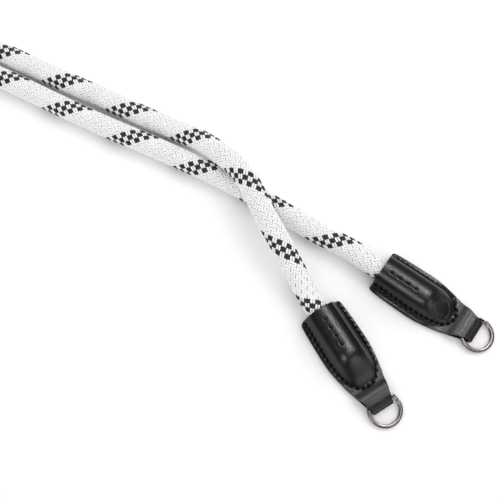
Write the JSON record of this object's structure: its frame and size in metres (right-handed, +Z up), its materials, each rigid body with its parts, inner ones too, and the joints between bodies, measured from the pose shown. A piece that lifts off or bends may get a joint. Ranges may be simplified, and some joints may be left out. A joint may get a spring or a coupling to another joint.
{
  "type": "rope camera strap",
  "caption": "Round braided rope strap that doubles back on itself, each end sewn into a folded leather end that carries a small split ring.",
  "frame": {"origin": "on the surface that the strap lies on, under the middle of the box around the two leather ends and their rings", "axes": "+X along the strap towards the rings, +Y across it towards the higher of the two parallel runs, +Z up, away from the surface"},
  "size_m": [0.4852, 0.0897, 0.0206],
  "materials": {
    "white_braided_rope": "matte braided yarn",
    "black_leather": "smooth, lightly grained",
    "dark_nickel": "polished dark nickel plating"
  },
  "bodies": {
    "strap": {"rope": "white_braided_rope", "left_leather_end": "black_leather", "right_leather_end": "black_leather"},
    "left_ring": {"left_split_ring": "dark_nickel"},
    "right_ring": {"right_split_ring": "dark_nickel"}
  },
  "joints": [
    {"name": "left_ring_turn", "type": "hinge", "parent": "strap", "child": "left_ring", "pos_m": [0.00761, -0.02857, 0.00196], "axis": [0.125, -0.0812, 0.9888], "continuous": true},
    {"name": "right_ring_turn", "type": "hinge", "parent": "strap", "child": "right_ring", "pos_m": [0.03128, 0.01748, 0.00196], "axis": [0.1467, -0.0264, 0.9888], "continuous": true}
  ]
}
